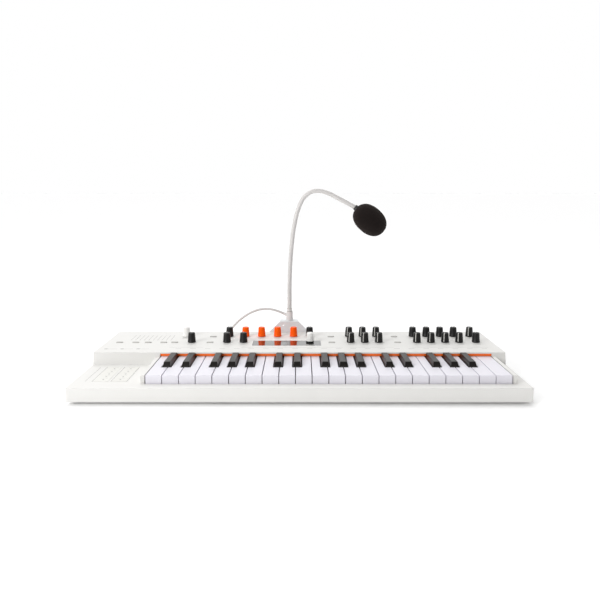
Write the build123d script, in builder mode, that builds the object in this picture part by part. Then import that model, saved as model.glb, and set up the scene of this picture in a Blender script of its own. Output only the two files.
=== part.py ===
from build123d import *
from math import cos, pi, radians, sin, tan
import os

# Desktop synthesizer: slim keys on a low front tier, a raised control panel behind them, and a
# gooseneck microphone on a bracket behind the case.
# Millimetres. +X is the player's right, +Y the back, +Z up. The origin is on the table, in the
# middle of the whole object's footprint, from the case's front edge to the back of the windscreen.

os.makedirs("parts", exist_ok=True)

# ---------------------------------------------------------------- driving dimensions
# Case
left_cheek = 94.7  # case side to the first key
right_cheek = 20.2  # last key to the other side
tier_depth = 103.5  # front edge to the foot of the step
step_lean = 3.5
panel_depth = 124.0
foot_height = 4.0
front_height = 17.8
step_rise = 16.6
wall = 2.0
corner_round = 2.0
edge_round = 1.0
case_gap = 0.3  # floor tray inside the top case

# Keys
key_pitch = 21.05
octaves = 3
key_gap = 1.1
key_front_margin = 17.6
white_head_length = 36.5
white_rise = 10.7  # white tops above the tier
white_body = 12.2
black_rise = 6.0  # black tops above the white tops
black_width = 11.5
black_shoulder_width = 9.8
black_skirt_rise = 1.6  # flared foot of a black key
black_top_width = 8.2
black_shoulder_setback = 2.0
black_front_slope = 5.4
black_edge_round = 0.8
black_gap = 0.9
key_skin = 1.6
key_top_skin = 2.0
rod_radius = 1.5
rod_clearance = 0.05
hinge_setback = 20.5  # hinge axis behind the panel's front edge
hinge_drop = 5.5  # hinge axis below the white tops
key_tail = 4.5  # key behind the hinge axis
rim_width = 5.0
well_gap = 0.8

# Controls
front_row_share = 0.460  # places on the panel, as shares of its depth
back_row_share = 0.754
display_share = 0.415
button_front_share = 0.445
button_back_share = 0.734
wide_columns = 1.178  # column spacing in key pitches
shaft_radius = 3.0
shaft_clearance = 0.05
bush_wall = 0.6
pot_width = 10.0
pot_depth = 11.0
pot_height = 6.5
pot_stack = 10.0  # main board top below the panel's underside
board_thickness = 1.6
knob_base_radius = 6.0
knob_top_radius = 4.9
knob_height = 14.7
knob_lift = 0.6
knob_skin = 1.3
hub_wall = 1.4
hub_gap = 0.3
button_length = 10.0
button_width = 4.6
button_gap = 0.3
button_rise = 1.2
button_travel = 0.8
window_depth = 30.1
window_thickness = 1.2

# Rear
socket_height = 11.0  # socket axes above the case's underside
jack_bore_radius = 3.25
mini_bore_radius = 1.8
jack_depth = 29.0

# Microphone
bracket_centre = -16.5
bracket_width = 66.0
bracket_top_width = 29.5
bracket_thickness = 2.5
bracket_top_rise = 16.7  # above the panel
stem_setback = 11.0  # stem axis behind the case
stem_foot_radius = 5.7
stem_neck_radius = 5.0
stem_height = 14.6
collar_radius = 4.2
collar_height = 5.6
neck_radius = 3.55
neck_socket = 5.0
cable_radius = 1.8
windscreen_length = 60.0
windscreen_radius = 21.7

# ---------------------------------------------------------------- worked-out places
bush_radius = shaft_radius + bush_wall
white_count = 7 * octaves + 1
keybed_width = white_count * key_pitch
case_width = left_cheek + keybed_width + right_cheek
case_depth = tier_depth + step_lean + panel_depth
half_width = case_width / 2
overall_depth = case_depth + stem_setback + windscreen_radius
front_y = -overall_depth / 2
back_y = front_y + case_depth
middle_y = (front_y + back_y) / 2
step_foot_y = front_y + tier_depth
panel_front_y = step_foot_y + step_lean
base_z = foot_height
floor_z = base_z + wall
tier_z = base_z + front_height
panel_z = tier_z + step_rise
tier_under_z = tier_z - wall
panel_under_z = panel_z - wall

keys_left = -half_width + left_cheek
keys_right = keys_left + keybed_width
key_front_y = front_y + key_front_margin
white_top_z = tier_z + white_rise
key_under_z = white_top_z - white_body
black_top_z = white_top_z + black_rise
black_front_y = key_front_y + white_head_length
black_back_y = panel_front_y - 1.2
hinge_y = panel_front_y + hinge_setback
hinge_z = white_top_z - hinge_drop
key_end_y = hinge_y + key_tail
well_left = keys_left - well_gap
well_right = keys_right + well_gap
well_front_y = key_front_y - well_gap

front_row_y = panel_front_y + front_row_share * panel_depth
back_row_y = panel_front_y + back_row_share * panel_depth
display_y = panel_front_y + display_share * panel_depth
button_front_y = panel_front_y + button_front_share * panel_depth
button_back_y = panel_front_y + button_back_share * panel_depth
board_top_z = panel_under_z - pot_stack
board_under_z = board_top_z - board_thickness
board_front_y = key_end_y + 5.0
board_back_y = back_row_y + pot_depth / 2 + 2.0
board_half_width = half_width - wall - 6.0

socket_z = base_z + socket_height
rear_inner_y = back_y - wall


def column(count):
    """X of a control, counted in key pitches from the first key's left edge."""
    return keys_left + count * key_pitch


wide_x = [column(4.09 + wide_columns * i) for i in range(6)]
middle_x = [column(12.87 + i) for i in range(3)]
right_x = [column(17.57 + i) for i in range(4)] + [column(21.76)]
window_left = wide_x[1] + 14.0
window_right = wide_x[5] + 16.0

# name, X, Y of every knob; the encoders turn without end
pot_knobs = [
    ("master_volume_knob", column(0.91), back_row_y),
    ("tempo_knob", column(1.59), front_row_y),
    ("oscillator_select_knob", wide_x[0], back_row_y),
    ("glide_knob", wide_x[0], front_row_y),
    ("voice_knob", wide_x[1], front_row_y),
    ("matrix_amount_knob", wide_x[5], back_row_y),
    ("cutoff_knob", middle_x[0], back_row_y),
    ("resonance_knob", middle_x[1], back_row_y),
    ("filter_drive_knob", middle_x[2], back_row_y),
    ("filter_envelope_knob", middle_x[0], front_row_y),
    ("filter_velocity_knob", middle_x[1], front_row_y),
    ("filter_tracking_knob", middle_x[2], front_row_y),
    ("cycle_rise_knob", right_x[0], back_row_y),
    ("cycle_fall_knob", right_x[1], back_row_y),
    ("cycle_hold_knob", right_x[2], back_row_y),
    ("lfo_rate_knob", right_x[3], back_row_y),
    ("effect_time_knob", right_x[4], back_row_y),
    ("attack_knob", right_x[0], front_row_y),
    ("decay_knob", right_x[1], front_row_y),
    ("sustain_knob", right_x[2], front_row_y),
    ("release_knob", right_x[3], front_row_y),
    ("effect_mix_knob", right_x[4], front_row_y),
]
encoder_knobs = [
    ("wave_encoder", wide_x[1], back_row_y),
    ("timbre_encoder", wide_x[2], back_row_y),
    ("shape_encoder", wide_x[3], back_row_y),
    ("level_encoder", wide_x[4], back_row_y),
    ("menu_encoder", wide_x[5], front_row_y),
]
knob_places = [(x, y) for name, x, y in pot_knobs + encoder_knobs]

cheek_buttons = [(-half_width + x, button_front_y) for x in (20.8, 44.7, 63.4, 86.5, 102.9)]
panel_button_columns = [column(2.89), column(11.53), column(16.19)]
panel_buttons = [(x, y) for x in panel_button_columns for y in (button_front_y, button_back_y)]


# ---------------------------------------------------------------- keyboard layout
# Black keys stand a little off the gap between two whites, as on every keyboard.
black_offsets = {0: -2.05, 1: 2.05, 3: -2.7, 4: 0.0, 5: 2.7}


def white_edges(index):
    """Left and right edge of a white key."""
    left = keys_left + index * key_pitch
    return left + key_gap / 2, left + key_pitch - key_gap / 2


def black_centre(octave, step):
    """X of the black key after the white key of that step in its octave."""
    return keys_left + (7 * octave + step + 1) * key_pitch + black_offsets[step]


hinge_ribs_x = [keys_left + k * key_pitch for k in range(white_count + 1) if k % 7 in (0, 3)]
hinge_ribs_x.append(keys_right + key_gap)
hinge_ribs_x[0] = keys_left - key_gap
rib_thickness = 3.0
rib_relief = rib_thickness / 2 + 1.0


def add_white_key(index):
    """One white key in the part being built: notched plate, hollow below, bored for the rod."""
    step = index % 7
    octave = index // 7
    left, right = white_edges(index)
    last = index == white_count - 1
    black_right = step in black_offsets and not last
    black_left = (step - 1) in black_offsets
    notch = black_width / 2 + black_gap
    stem_left = black_centre(octave, step - 1) + notch if black_left else left
    stem_right = black_centre(octave, step) - notch if black_right else right
    tail_left = stem_left if black_left else left + rib_relief - key_gap / 2
    tail_right = stem_right if black_right else right - rib_relief + key_gap / 2
    notch_y = black_front_y - black_gap
    tail_y = panel_front_y + 10.0

    def outline(inset, end_y):
        with Locations(((left + right) / 2, (key_front_y + notch_y) / 2)):
            Rectangle(right - left - 2 * inset, notch_y - key_front_y - 2 * inset)
        with Locations(((stem_left + stem_right) / 2, (key_front_y + tail_y) / 2)):
            Rectangle(stem_right - stem_left - 2 * inset, tail_y - key_front_y - 2 * inset)
        if end_y > tail_y:
            with Locations(((tail_left + tail_right) / 2, (key_front_y + end_y) / 2)):
                Rectangle(tail_right - tail_left - 2 * inset, end_y - key_front_y)

    with BuildSketch(Plane.XY.offset(key_under_z)) as plate:
        outline(0, key_end_y)
    extrude(plate.sketch, amount=white_body)
    fillet(faces(Select.LAST).sort_by(Axis.Z)[-1].edges(), radius=0.5)
    with BuildSketch(Plane.XY.offset(key_under_z)) as hollow:
        outline(key_skin, tail_y)
    extrude(hollow.sketch, amount=white_body - key_top_skin, mode=Mode.SUBTRACT)


def add_black_key(octave, step):
    """One black key in the part being built: tapered top on a hollow body, bored for the rod."""
    centre = black_centre(octave, step)
    deck_z = white_top_z - 0.6
    visible = black_back_y - black_front_y
    with BuildSketch(Plane.XY.offset(key_under_z)) as body:
        with Locations((centre, (black_front_y + key_end_y) / 2)):
            Rectangle(black_width, key_end_y - black_front_y)
    extrude(body.sketch, amount=deck_z - key_under_z)
    with BuildSketch(Plane.XY.offset(deck_z)) as deck:
        with Locations((centre, black_front_y + visible / 2)):
            Rectangle(black_width, visible)
    with BuildSketch(Plane.XY.offset(deck_z + black_skirt_rise)) as shoulder:
        with Locations((centre, (black_front_y + black_shoulder_setback + black_back_y) / 2)):
            Rectangle(black_shoulder_width, visible - black_shoulder_setback)
    with BuildSketch(Plane.XY.offset(black_top_z)) as top:
        with Locations((centre, (black_front_y + black_front_slope + black_back_y) / 2)):
            Rectangle(black_top_width, visible - black_front_slope)
    loft([deck.sketch, shoulder.sketch])
    loft([shoulder.sketch, top.sketch])
    fillet(faces(Select.LAST).sort_by(Axis.Z)[-1].edges(), radius=black_edge_round)
    with BuildSketch(Plane.XY.offset(key_under_z)) as hollow:
        with Locations((centre, (black_front_y + panel_front_y) / 2)):
            Rectangle(black_width - 2 * key_skin, panel_front_y - black_front_y - 2 * key_skin)
    extrude(hollow.sketch, amount=deck_z - key_under_z - key_top_skin, mode=Mode.SUBTRACT)


def bore_for_rod(radius):
    """Bore along the hinge axis through every key of the part being built."""
    with BuildSketch(Plane.YZ.offset(-half_width)) as bore:
        with Locations((hinge_y, hinge_z)):
            Circle(radius)
    extrude(bore.sketch, amount=case_width, mode=Mode.SUBTRACT)


# ---------------------------------------------------------------- fixings and sockets
case_boss_radius = 3.5
screw_radius = 1.25
screw_hole_radius = 1.35
screw_head_radius = 2.8
screw_head_height = 1.9
tray_boss_radius = 4.6
tray_boss_height = 3.0
head_pocket_radius = 3.2
head_pocket_depth = 2.6
boss_rise = 0.2

front_boss_y = front_y + 9.0
rear_boss_y = back_y - 9.0
corner_boss_x = half_width - 12.0
front_boss_x = (-corner_boss_x, -half_width / 3, half_width / 3, corner_boss_x)
rear_boss_x = (-corner_boss_x, bracket_centre - 50.0, bracket_centre + 42.0, corner_boss_x)
boss_places = [(x, front_boss_y) for x in front_boss_x] + [(x, rear_boss_y) for x in rear_boss_x]
boss_foot_z = floor_z + tray_boss_height + boss_rise

board_boss_radius = 3.0
board_boss_x = (
    -board_half_width + 8.0, column(2.2), (wide_x[5] + middle_x[0]) / 2,
    column(17.57) - 14.0, board_half_width - 4.0,
)
board_boss_y = (board_front_y + 8.0, (front_row_y + back_row_y) / 2)
board_boss_places = [(x, y) for x in board_boss_x for y in board_boss_y]

chassis_thickness = 2.0
chassis_z = floor_z + 1.5
chassis_left = keys_left - 6.0
chassis_right = keys_right + 6.0
chassis_front_y = key_front_y + 3.0
chassis_back_y = key_end_y + 1.0
chassis_post_radius = 4.0
chassis_post_places = [
    (keys_left + share * keybed_width, y)
    for share in (0.02, 0.32, 0.66, 0.98)
    for y in (chassis_front_y + 20.0, chassis_front_y + 66.0)
]

bracket_screw_places = [(bracket_centre - 22.0, base_z + 20.0), (bracket_centre + 22.0, base_z + 20.0)]

# Sockets in the rear wall: X, bore radius and depth, body width, nose radius
audio_input_x = bracket_centre - 97.0
quarter_jacks_x = [audio_input_x - setback for setback in (123.0, 88.0, 53.0, 0.0)]
quarter_jacks_x.append(bracket_centre + 66.0)
mini_jack_x = bracket_centre + 96.0
din_x = [bracket_centre + 128.0, bracket_centre + 158.0]
usb_x = bracket_centre + 192.0
inlet_x = bracket_centre + 222.0
power_x = bracket_centre + 248.0
jack_nose_radius = 4.5
jack_body_width = 15.0
jack_body_height = 12.4
mini_nose_radius = 3.0
din_radius = 7.5
din_depth = 8.0
usb_width = 8.6
usb_height = 7.9
usb_depth = 9.0
inlet_bore_radius = 2.85
inlet_pin_radius = 1.05
inlet_depth = 9.0
power_radius = 3.5
jack_board_z = socket_z - jack_body_height / 2 - board_thickness
jack_board_left = quarter_jacks_x[0] - 12.0
jack_board_right = power_x + 10.0
jack_board_depth = 30.0
jack_pad_radius = 3.0
jack_pad_places = [
    (x, rear_inner_y - 28.0)
    for x in (jack_board_left + 8.0, audio_input_x - 26.0, mini_jack_x - 14.0, jack_board_right - 6.0)
]

# ---------------------------------------------------------------- top case
with BuildPart() as top_case:
    with BuildSketch(Plane.YZ.offset(-half_width)):
        with BuildLine():
            Polyline(
                (front_y, base_z), (front_y, tier_z), (step_foot_y, tier_z),
                (panel_front_y, panel_z), (back_y, panel_z), (back_y, base_z), close=True,
            )
        make_face()
    extrude(amount=case_width)
    fillet(top_case.edges().filter_by(Axis.Z).group_by(Axis.Y)[0], radius=corner_round)
    upper_edges = top_case.edges().filter_by(
        lambda e: e.center().Z > tier_z - 0.1 and e.center().Y < back_y - 0.1
    )
    fillet(upper_edges, radius=edge_round)
    # rims beside the keys, flush with the white tops
    for rim_x in (well_left - rim_width / 2, well_right + rim_width / 2):
        with BuildSketch(Plane.XY.offset(tier_z - wall)):
            with Locations((rim_x, (key_front_y + panel_front_y) / 2)):
                Rectangle(rim_width, panel_front_y - key_front_y)
        extrude(amount=white_rise + wall)
    # inside of the shell, open below and behind
    with BuildSketch(Plane.YZ.offset(-half_width + wall)):
        with BuildLine():
            Polyline(
                (front_y + wall, 0), (front_y + wall, tier_under_z), (step_foot_y + 0.9 * wall, tier_under_z),
                (panel_front_y + 0.9 * wall, panel_under_z), (back_y + 1, panel_under_z), (back_y + 1, 0),
                close=True,
            )
        make_face()
    extrude(amount=case_width - 2 * wall, mode=Mode.SUBTRACT)
    # key well, through the tier and the step up to the panel's lip
    with BuildSketch(Plane.XY.offset(tier_under_z - 1)):
        with Locations(((well_left + well_right) / 2, (well_front_y + panel_front_y + 4) / 2)):
            Rectangle(well_right - well_left, panel_front_y + 4 - well_front_y)
    extrude(amount=panel_under_z - tier_under_z + 1, mode=Mode.SUBTRACT)
    # bosses for the case screws and the main board
    for place in boss_places:
        roof_z = tier_under_z if place[1] < step_foot_y else panel_under_z
        with BuildSketch(Plane.XY.offset(boss_foot_z)):
            with Locations(place):
                Circle(case_boss_radius)
        extrude(amount=roof_z - boss_foot_z + 0.1)
        with BuildSketch(Plane.XY.offset(boss_foot_z)):
            with Locations(place):
                Circle(screw_hole_radius)
        extrude(amount=9.0, mode=Mode.SUBTRACT)
    with BuildSketch(Plane.XY.offset(board_top_z)):
        with Locations(*board_boss_places):
            Circle(board_boss_radius)
    extrude(amount=pot_stack + 0.1)
    with BuildSketch(Plane.XY.offset(board_top_z)):
        with Locations(*board_boss_places):
            Circle(screw_hole_radius)
    extrude(amount=pot_stack - 1.0, mode=Mode.SUBTRACT)
    # holes in the panel
    with BuildSketch(Plane.XY.offset(panel_under_z - 0.5)):
        with Locations(*knob_places):
            Circle(bush_radius + 0.4)
        with Locations(*(cheek_buttons + panel_buttons)):
            SlotOverall(button_length + 2 * button_gap, button_width + 2 * button_gap)
    extrude(amount=wall + 1, mode=Mode.SUBTRACT)
    # window pocket with a ledge, open over the display module
    with BuildSketch(Plane.XY.offset(panel_z - window_thickness)):
        with Locations(((window_left + window_right) / 2, display_y)):
            Rectangle(window_right - window_left + 0.2, window_depth + 0.2)
    extrude(amount=window_thickness + 1, mode=Mode.SUBTRACT)
    module_left = window_left + 4.0
    module_right = wide_x[5] - 12.5
    with BuildSketch(Plane.XY.offset(panel_under_z - 0.5)):
        with Locations(((module_left + module_right) / 2, display_y)):
            Rectangle(module_right - module_left, window_depth - 8)
    extrude(amount=wall + 1, mode=Mode.SUBTRACT)
top_case.part.label = "top_case"
export_step(top_case.part, "parts/top_case.step")

# ---------------------------------------------------------------- floor tray and rear wall
tray_half = half_width - wall - case_gap
tray_front_y = front_y + wall + case_gap
foot_x = half_width - 32.0
foot_y = case_depth / 2 - 26.0
feet_places = [(sx * foot_x, middle_y + sy * foot_y) for sx in (-1, 1) for sy in (-1, 1)]
foot_radius = 9.0
foot_seat = 0.6

with BuildPart() as bottom_case:
    with BuildSketch(Plane.XY.offset(base_z)):
        with Locations((0, (tray_front_y + back_y) / 2)):
            RectangleRounded(2 * tray_half, back_y - tray_front_y, 1.0)
    extrude(amount=wall)
    with BuildSketch(Plane.XZ.offset(-back_y)):
        with Locations((0, (base_z + panel_under_z - case_gap) / 2)):
            Rectangle(2 * tray_half, panel_under_z - case_gap - base_z)
    extrude(amount=wall)
    with BuildSketch(Plane.XY.offset(base_z)):
        with Locations(*boss_places):
            Circle(tray_boss_radius)
    extrude(amount=wall + tray_boss_height)
    with BuildSketch(Plane.XY.offset(base_z)):
        with Locations(*chassis_post_places):
            Circle(chassis_post_radius)
    extrude(amount=chassis_z - base_z)
    with BuildSketch(Plane.XY.offset(base_z)):
        with Locations(*jack_pad_places):
            Circle(jack_pad_radius)
    extrude(amount=jack_board_z - base_z)
    # inner bosses for the bracket's screws
    with BuildSketch(Plane.XZ.offset(-rear_inner_y)):
        with Locations(*bracket_screw_places):
            Circle(case_boss_radius)
    extrude(amount=9.0)
    with BuildSketch(Plane.XZ.offset(-back_y)):
        with Locations(*bracket_screw_places):
            Circle(screw_hole_radius)
    extrude(amount=10.0, mode=Mode.SUBTRACT)
    # screw holes and head pockets from below
    with Locations(*[Plane((x, y, base_z), x_dir=(1, 0, 0), z_dir=(0, 0, -1)) for x, y in boss_places]):
        CounterBoreHole(
            screw_hole_radius + 0.3, head_pocket_radius, head_pocket_depth, wall + tray_boss_height
        )
    with BuildSketch(Plane.XY.offset(base_z + 0.8)):
        with Locations(*chassis_post_places):
            Circle(screw_hole_radius)
    extrude(amount=chassis_z, mode=Mode.SUBTRACT)
    # seats for the feet
    with BuildSketch(Plane.XY.offset(base_z)):
        with Locations(*feet_places):
            Circle(foot_radius + 0.1)
    extrude(amount=foot_seat, mode=Mode.SUBTRACT)
    # socket openings in the rear wall
    with BuildSketch(Plane.XZ.offset(-back_y - 1)):
        with Locations(*[(x, socket_z) for x in quarter_jacks_x]):
            Circle(jack_nose_radius + 0.2)
        with Locations((mini_jack_x, socket_z)):
            Circle(mini_nose_radius + 0.2)
        with Locations(*[(x, socket_z) for x in din_x]):
            Circle(din_radius + 0.2)
        with Locations((usb_x, socket_z)):
            Rectangle(usb_width + 3.4, usb_height + 3.4)
        with Locations((inlet_x, socket_z)):
            Circle(inlet_bore_radius + 1.4)
        with Locations((power_x, socket_z)):
            Circle(power_radius + 0.3)
    extrude(amount=wall + 2, mode=Mode.SUBTRACT)
bottom_case.part.label = "bottom_case"
export_step(bottom_case.part, "parts/bottom_case.step")

with BuildPart() as rubber_feet:
    with BuildSketch(Plane.XY):
        with Locations(*feet_places):
            Circle(foot_radius)
    extrude(amount=foot_height + foot_seat)
    fillet(rubber_feet.edges().group_by(Axis.Z)[0], radius=0.8)
rubber_feet.part.label = "rubber_feet"
export_step(rubber_feet.part, "parts/rubber_feet.step")

# ---------------------------------------------------------------- keybed
ledge_z = key_under_z - 5.0
ledge_front_y = panel_front_y - 6.0
ledge_back_y = panel_front_y + 9.0
contact_y = panel_front_y + 3.0
contact_board_z = ledge_z
dome_height = 2.0
dome_radius = 2.6
guide_width = 3.0
guide_length = 9.0
guide_top_z = key_under_z + 2.2
guide_y = key_front_y + 12.0
contact_keys_x = [sum(white_edges(i)) / 2 for i in range(white_count)]
contact_blacks_x = [black_centre(o, s) for o in range(octaves) for s in black_offsets]


def dome_x(index):
    """X of the dome under a white key, in the middle of its stem."""
    step = index % 7
    left, right = white_edges(index)
    notch = black_width / 2 + black_gap
    if (step - 1) in black_offsets:
        left = black_centre(index // 7, step - 1) + notch
    if step in black_offsets and index < white_count - 1:
        right = black_centre(index // 7, step) - notch
    return (left + right) / 2


with BuildPart() as key_chassis:
    with BuildSketch(Plane.XY.offset(chassis_z)):
        with Locations(((chassis_left + chassis_right) / 2, (chassis_front_y + chassis_back_y) / 2)):
            Rectangle(chassis_right - chassis_left, chassis_back_y - chassis_front_y)
    extrude(amount=chassis_thickness)
    with BuildSketch(Plane.XY.offset(chassis_z)):
        with Locations(((chassis_left + chassis_right) / 2, (ledge_front_y + ledge_back_y) / 2)):
            Rectangle(chassis_right - chassis_left, ledge_back_y - ledge_front_y)
    extrude(amount=ledge_z - chassis_z)
    with BuildSketch(Plane.XY.offset(chassis_z)):
        with Locations(*[(x, guide_y) for x in contact_keys_x]):
            Rectangle(guide_width, guide_length)
    extrude(amount=guide_top_z - chassis_z)
    for rib_x in hinge_ribs_x:
        with BuildSketch(Plane.YZ.offset(rib_x - rib_thickness / 2)):
            with BuildLine():
                Polyline(
                    (hinge_y - 7.5, chassis_z), (hinge_y - 3.5, hinge_z + 3.2),
                    (hinge_y + 3.5, hinge_z + 3.2), (hinge_y + 5.0, chassis_z), close=True,
                )
            make_face()
            with Locations((hinge_y, hinge_z)):
                Circle(rod_radius, mode=Mode.SUBTRACT)
        extrude(amount=rib_thickness)
    with BuildSketch(Plane.XY.offset(chassis_z)):
        with Locations(*chassis_post_places):
            Circle(screw_hole_radius)
    extrude(amount=chassis_thickness, mode=Mode.SUBTRACT)
key_chassis.part.label = "key_chassis"
export_step(key_chassis.part, "parts/key_chassis.step")

with BuildPart() as hinge_rod:
    with BuildSketch(Plane.YZ.offset(hinge_ribs_x[0] - rib_thickness / 2)):
        with Locations((hinge_y, hinge_z)):
            Circle(rod_radius)
    extrude(amount=hinge_ribs_x[-1] - hinge_ribs_x[0] + rib_thickness)
hinge_rod.part.label = "hinge_rod"
export_step(hinge_rod.part, "parts/hinge_rod.step")

with BuildPart() as contact_board:
    with BuildSketch(Plane.XY.offset(contact_board_z)):
        with Locations(((keys_left + keys_right) / 2, (ledge_front_y + ledge_back_y) / 2)):
            Rectangle(keybed_width - 2, ledge_back_y - ledge_front_y - 1)
    extrude(amount=board_thickness)
contact_places = [(dome_x(i), contact_y) for i in range(white_count)]
contact_places += [(x, contact_y) for x in contact_blacks_x]
with BuildPart() as domes:
    for place in contact_places:
        with BuildSketch(Plane.XY.offset(contact_board_z + board_thickness)):
            with Locations(place):
                Circle(dome_radius)
        extrude(amount=dome_height, taper=22)
contact_set = Compound(children=[contact_board.part] + list(domes.part.solids()), label="contact_board")
export_step(contact_set, "parts/contact_board.step")

comb_steps = {"ceg": (0, 2, 4, 6), "dfa": (1, 3, 5)}
for octave in range(octaves):
    for comb_name, steps in comb_steps.items():
        indices = [7 * octave + s for s in steps]
        if comb_name == "ceg" and octave == octaves - 1:
            indices.append(white_count - 1)
        with BuildPart() as comb:
            for key_index in indices:
                add_white_key(key_index)
            bore_for_rod(rod_radius + rod_clearance)
        node = f"white_keys_{comb_name}_octave_{octave + 1}"
        comb.part.label = node
        export_step(comb.part, f"parts/{node}.step")
    with BuildPart() as black_comb:
        for key_step in black_offsets:
            add_black_key(octave, key_step)
        bore_for_rod(rod_radius + rod_clearance)
    node = f"black_keys_octave_{octave + 1}"
    black_comb.part.label = node
    export_step(black_comb.part, f"parts/{node}.step")

# strip that closes the slot between the white tops and the panel's lip
strip_gap = 0.4
strip_thickness = 2.0
with BuildPart() as accent_strip:
    with BuildSketch(Plane.XY.offset(white_top_z + strip_gap)):
        with Locations(((well_left + well_right) / 2, panel_front_y + 0.3 + strip_thickness / 2)):
            Rectangle(well_right - well_left - 0.4, strip_thickness)
    extrude(amount=panel_under_z - white_top_z - strip_gap)
accent_strip.part.label = "accent_strip"
export_step(accent_strip.part, "parts/accent_strip.step")

# ---------------------------------------------------------------- touch strips on the left cheek
strip_length = 64.0
strip_width = 20.0
strip_film = 0.25
touch_y = front_y + 58.0
touch_places = [(-half_width + 35.0, touch_y), (-half_width + 59.0, touch_y)]
with BuildPart() as touch_strips:
    with BuildSketch(Plane.XY.offset(tier_z)):
        with Locations(*touch_places):
            RectangleRounded(strip_width, strip_length, 2.0)
    extrude(amount=strip_film)
touch_strips.part.label = "touch_strips"
export_step(touch_strips.part, "parts/touch_strips.step")

# ---------------------------------------------------------------- panel electronics
switch_size = 6.0
switch_height = 4.3
button_flange = 1.0
button_stem_radius = 1.6
button_places = cheek_buttons + panel_buttons
flange_top_z = panel_under_z - 0.15
stem_foot_z = board_top_z + switch_height + button_travel + 0.1

with BuildPart() as control_board:
    with BuildSketch(Plane.XY.offset(board_under_z)):
        with Locations((0, (board_front_y + board_back_y) / 2)):
            Rectangle(2 * board_half_width, board_back_y - board_front_y)
        with Locations(*board_boss_places):
            Circle(screw_hole_radius + 0.2, mode=Mode.SUBTRACT)
    extrude(amount=board_thickness)
with BuildPart() as pots:
    with BuildSketch(Plane.XY.offset(board_top_z)):
        with Locations(*knob_places):
            Rectangle(pot_width, pot_depth)
    extrude(amount=pot_height)
    with BuildSketch(Plane.XY.offset(board_top_z + pot_height)):
        with Locations(*knob_places):
            Circle(bush_radius)
    extrude(amount=panel_z - board_top_z - pot_height - 0.4)
    with BuildSketch(Plane.XY.offset(board_top_z + 2.5)):
        with Locations(*knob_places):
            Circle(shaft_radius + shaft_clearance)
    extrude(amount=panel_z - board_top_z, mode=Mode.SUBTRACT)
with BuildPart() as switches:
    with BuildSketch(Plane.XY.offset(board_top_z)):
        with Locations(*button_places):
            Rectangle(switch_size, switch_size)
    extrude(amount=switch_height)
with BuildPart() as display_module:
    with BuildSketch(Plane.XY.offset(board_top_z)):
        with Locations(((module_left + module_right) / 2, display_y)):
            Rectangle(module_right - module_left - 3, window_depth - 11)
    extrude(amount=panel_z - window_thickness - 0.2 - board_top_z)
board_pieces = [control_board.part, display_module.part]
board_pieces += list(pots.part.solids()) + list(switches.part.solids())
main_board = Compound(children=board_pieces, label="main_board")
export_step(main_board, "parts/main_board.step")

with BuildPart() as display_window:
    with BuildSketch(Plane.XY.offset(panel_z - window_thickness)):
        with Locations(((window_left + window_right) / 2, display_y)):
            RectangleRounded(window_right - window_left, window_depth, 1.2)
        with Locations((wide_x[5], front_row_y)):
            Circle(bush_radius + 0.4, mode=Mode.SUBTRACT)
    extrude(amount=window_thickness)
display_window.part.label = "display_window"
export_step(display_window.part, "parts/display_window.step")

# ---------------------------------------------------------------- knobs and buttons
knob_foot_z = panel_z + knob_lift
shaft_foot_z = board_top_z + 3.0
shaft_top_z = panel_z + 12.0
hub_radius = shaft_radius + hub_wall
hollow_radius = max(knob_base_radius - knob_skin, hub_radius + hub_gap)
for knob_name, knob_x, knob_y in pot_knobs + encoder_knobs:
    knob_plane = Plane((knob_x, knob_y, 0), x_dir=(1, 0, 0), z_dir=(0, -1, 0))
    with BuildPart() as knob:
        with BuildSketch(knob_plane):
            with BuildLine():
                Polyline(
                    (0, shaft_top_z), (0, panel_z + knob_height), (knob_top_radius, panel_z + knob_height),
                    (knob_base_radius, knob_foot_z), (hollow_radius, knob_foot_z),
                    (hub_radius + hub_gap, panel_z + 10.0), (hub_radius, panel_z + 10.0),
                    (hub_radius, knob_foot_z + 1.0), (shaft_radius, knob_foot_z + 1.0),
                    (shaft_radius, shaft_top_z), close=True,
                )
            make_face()
        revolve(axis=Axis((knob_x, knob_y, 0), (0, 0, 1)))
        fillet(knob.edges().group_by(Axis.Z)[-1], radius=0.7)
    with BuildPart() as shaft:
        with BuildSketch(Plane.XY.offset(shaft_foot_z)):
            with Locations((knob_x, knob_y)):
                Circle(shaft_radius)
        extrude(amount=shaft_top_z - shaft_foot_z)
    knob_set = Compound(children=[knob.part, shaft.part], label=knob_name)
    export_step(knob_set, f"parts/{knob_name}.step")

for group_name, places in (("cheek_buttons", cheek_buttons), ("panel_buttons", panel_buttons)):
    with BuildPart() as buttons:
        with BuildSketch(Plane.XY.offset(flange_top_z)):
            with Locations(*places):
                SlotOverall(button_length, button_width)
        extrude(amount=panel_z + button_rise - flange_top_z)
        fillet(buttons.faces().filter_by(Axis.Z).group_by(Axis.Z)[-1].edges(), radius=0.6)
        with BuildSketch(Plane.XY.offset(flange_top_z - button_flange)):
            with Locations(*places):
                SlotOverall(button_length + 2.4, button_width + 2.4)
        extrude(amount=button_flange)
        with BuildSketch(Plane.XY.offset(stem_foot_z)):
            with Locations(*places):
                Circle(button_stem_radius)
        extrude(amount=flange_top_z - stem_foot_z)
    buttons.part.label = group_name
    export_step(buttons.part, f"parts/{group_name}.step")

# ---------------------------------------------------------------- rear sockets and power button
def socket_body(x, width, length, height):
    """Box of a socket behind the rear wall, in the part being built."""
    with BuildSketch(Plane.XZ.offset(-rear_inner_y)) as box_face:
        with Locations((x, socket_z)):
            Rectangle(width, height)
    extrude(box_face.sketch, amount=length)


def socket_nose(x, radius, proud):
    """Round nose of a socket through the rear wall, in the part being built."""
    with BuildSketch(Plane.XZ.offset(-back_y - proud)) as nose_face:
        with Locations((x, socket_z)):
            Circle(radius)
    extrude(nose_face.sketch, amount=wall + proud)


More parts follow.
